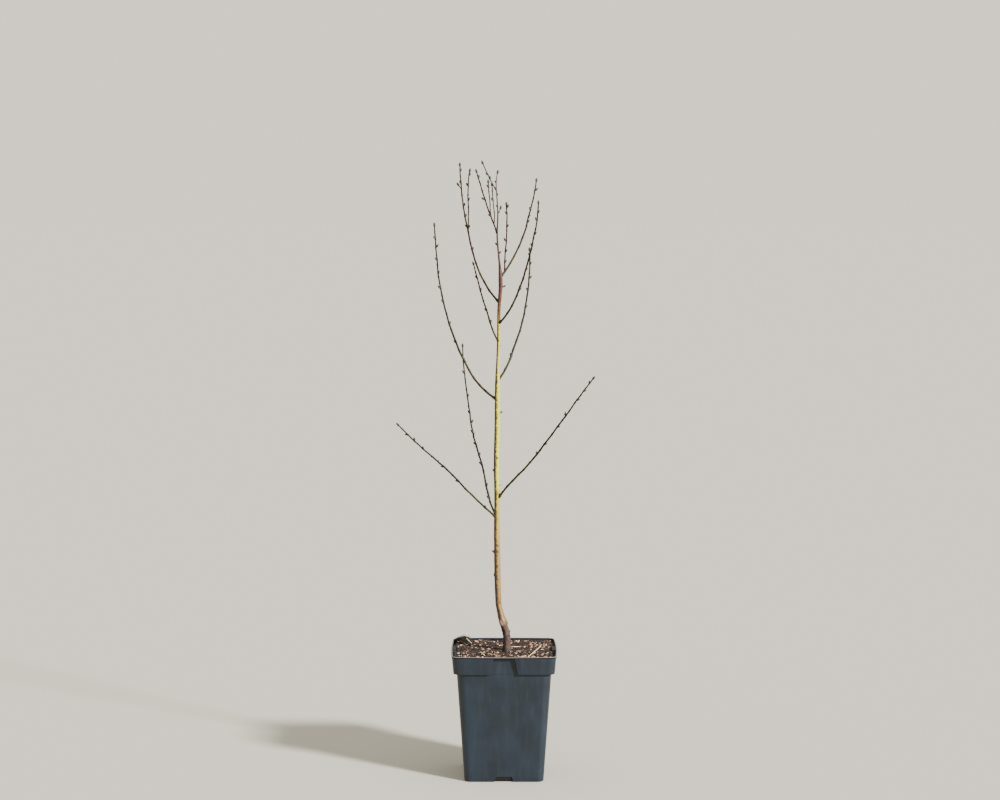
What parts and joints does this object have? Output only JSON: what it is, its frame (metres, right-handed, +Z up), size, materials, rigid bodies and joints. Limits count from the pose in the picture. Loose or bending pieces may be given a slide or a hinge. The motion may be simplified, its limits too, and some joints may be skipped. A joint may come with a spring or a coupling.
{
  "type": "potted nectarine tree",
  "caption": "Young grafted nectarine tree in winter, with slim bare boughs and budded twigs, standing in a deep square plastic nursery pot full of bark compost.",
  "frame": {"origin": "centre of the pot's flat underside", "axes": "+Z up through the pot's middle; the front view looks along +Y, with +X to the right"},
  "size_m": [0.3719, 0.2333, 1.1831],
  "materials": {
    "pot_plastic": "satin",
    "soil": "matte",
    "bark": "matte",
    "bough_bark": "matte",
    "twig_bark": "matte"
  },
  "bodies": {
    "root": {"pot": "pot_plastic", "soil": "soil", "trunk": "bark", "bough_low_left": "bough_bark", "bough_inner_left": "bough_bark", "bough_low_right": "bough_bark", "bough_outer_left": "bough_bark", "bough_mid_right": "bough_bark", "bough_inner_front": "bough_bark", "bough_upper_right": "bough_bark", "bough_top_left": "bough_bark", "bough_top_right": "bough_bark", "twigs_low_left": "twig_bark", "twigs_inner_left": "twig_bark", "twigs_low_right": "twig_bark", "twigs_outer_left": "twig_bark", "twigs_mid_right": "twig_bark", "twigs_inner_front": "twig_bark", "twigs_upper_right": "twig_bark", "twigs_top_left": "twig_bark", "twigs_top_right": "twig_bark", "twigs_crown_left": "twig_bark", "twigs_crown_tip": "twig_bark", "twigs_upright": "twig_bark"}
  },
  "joints": []
}
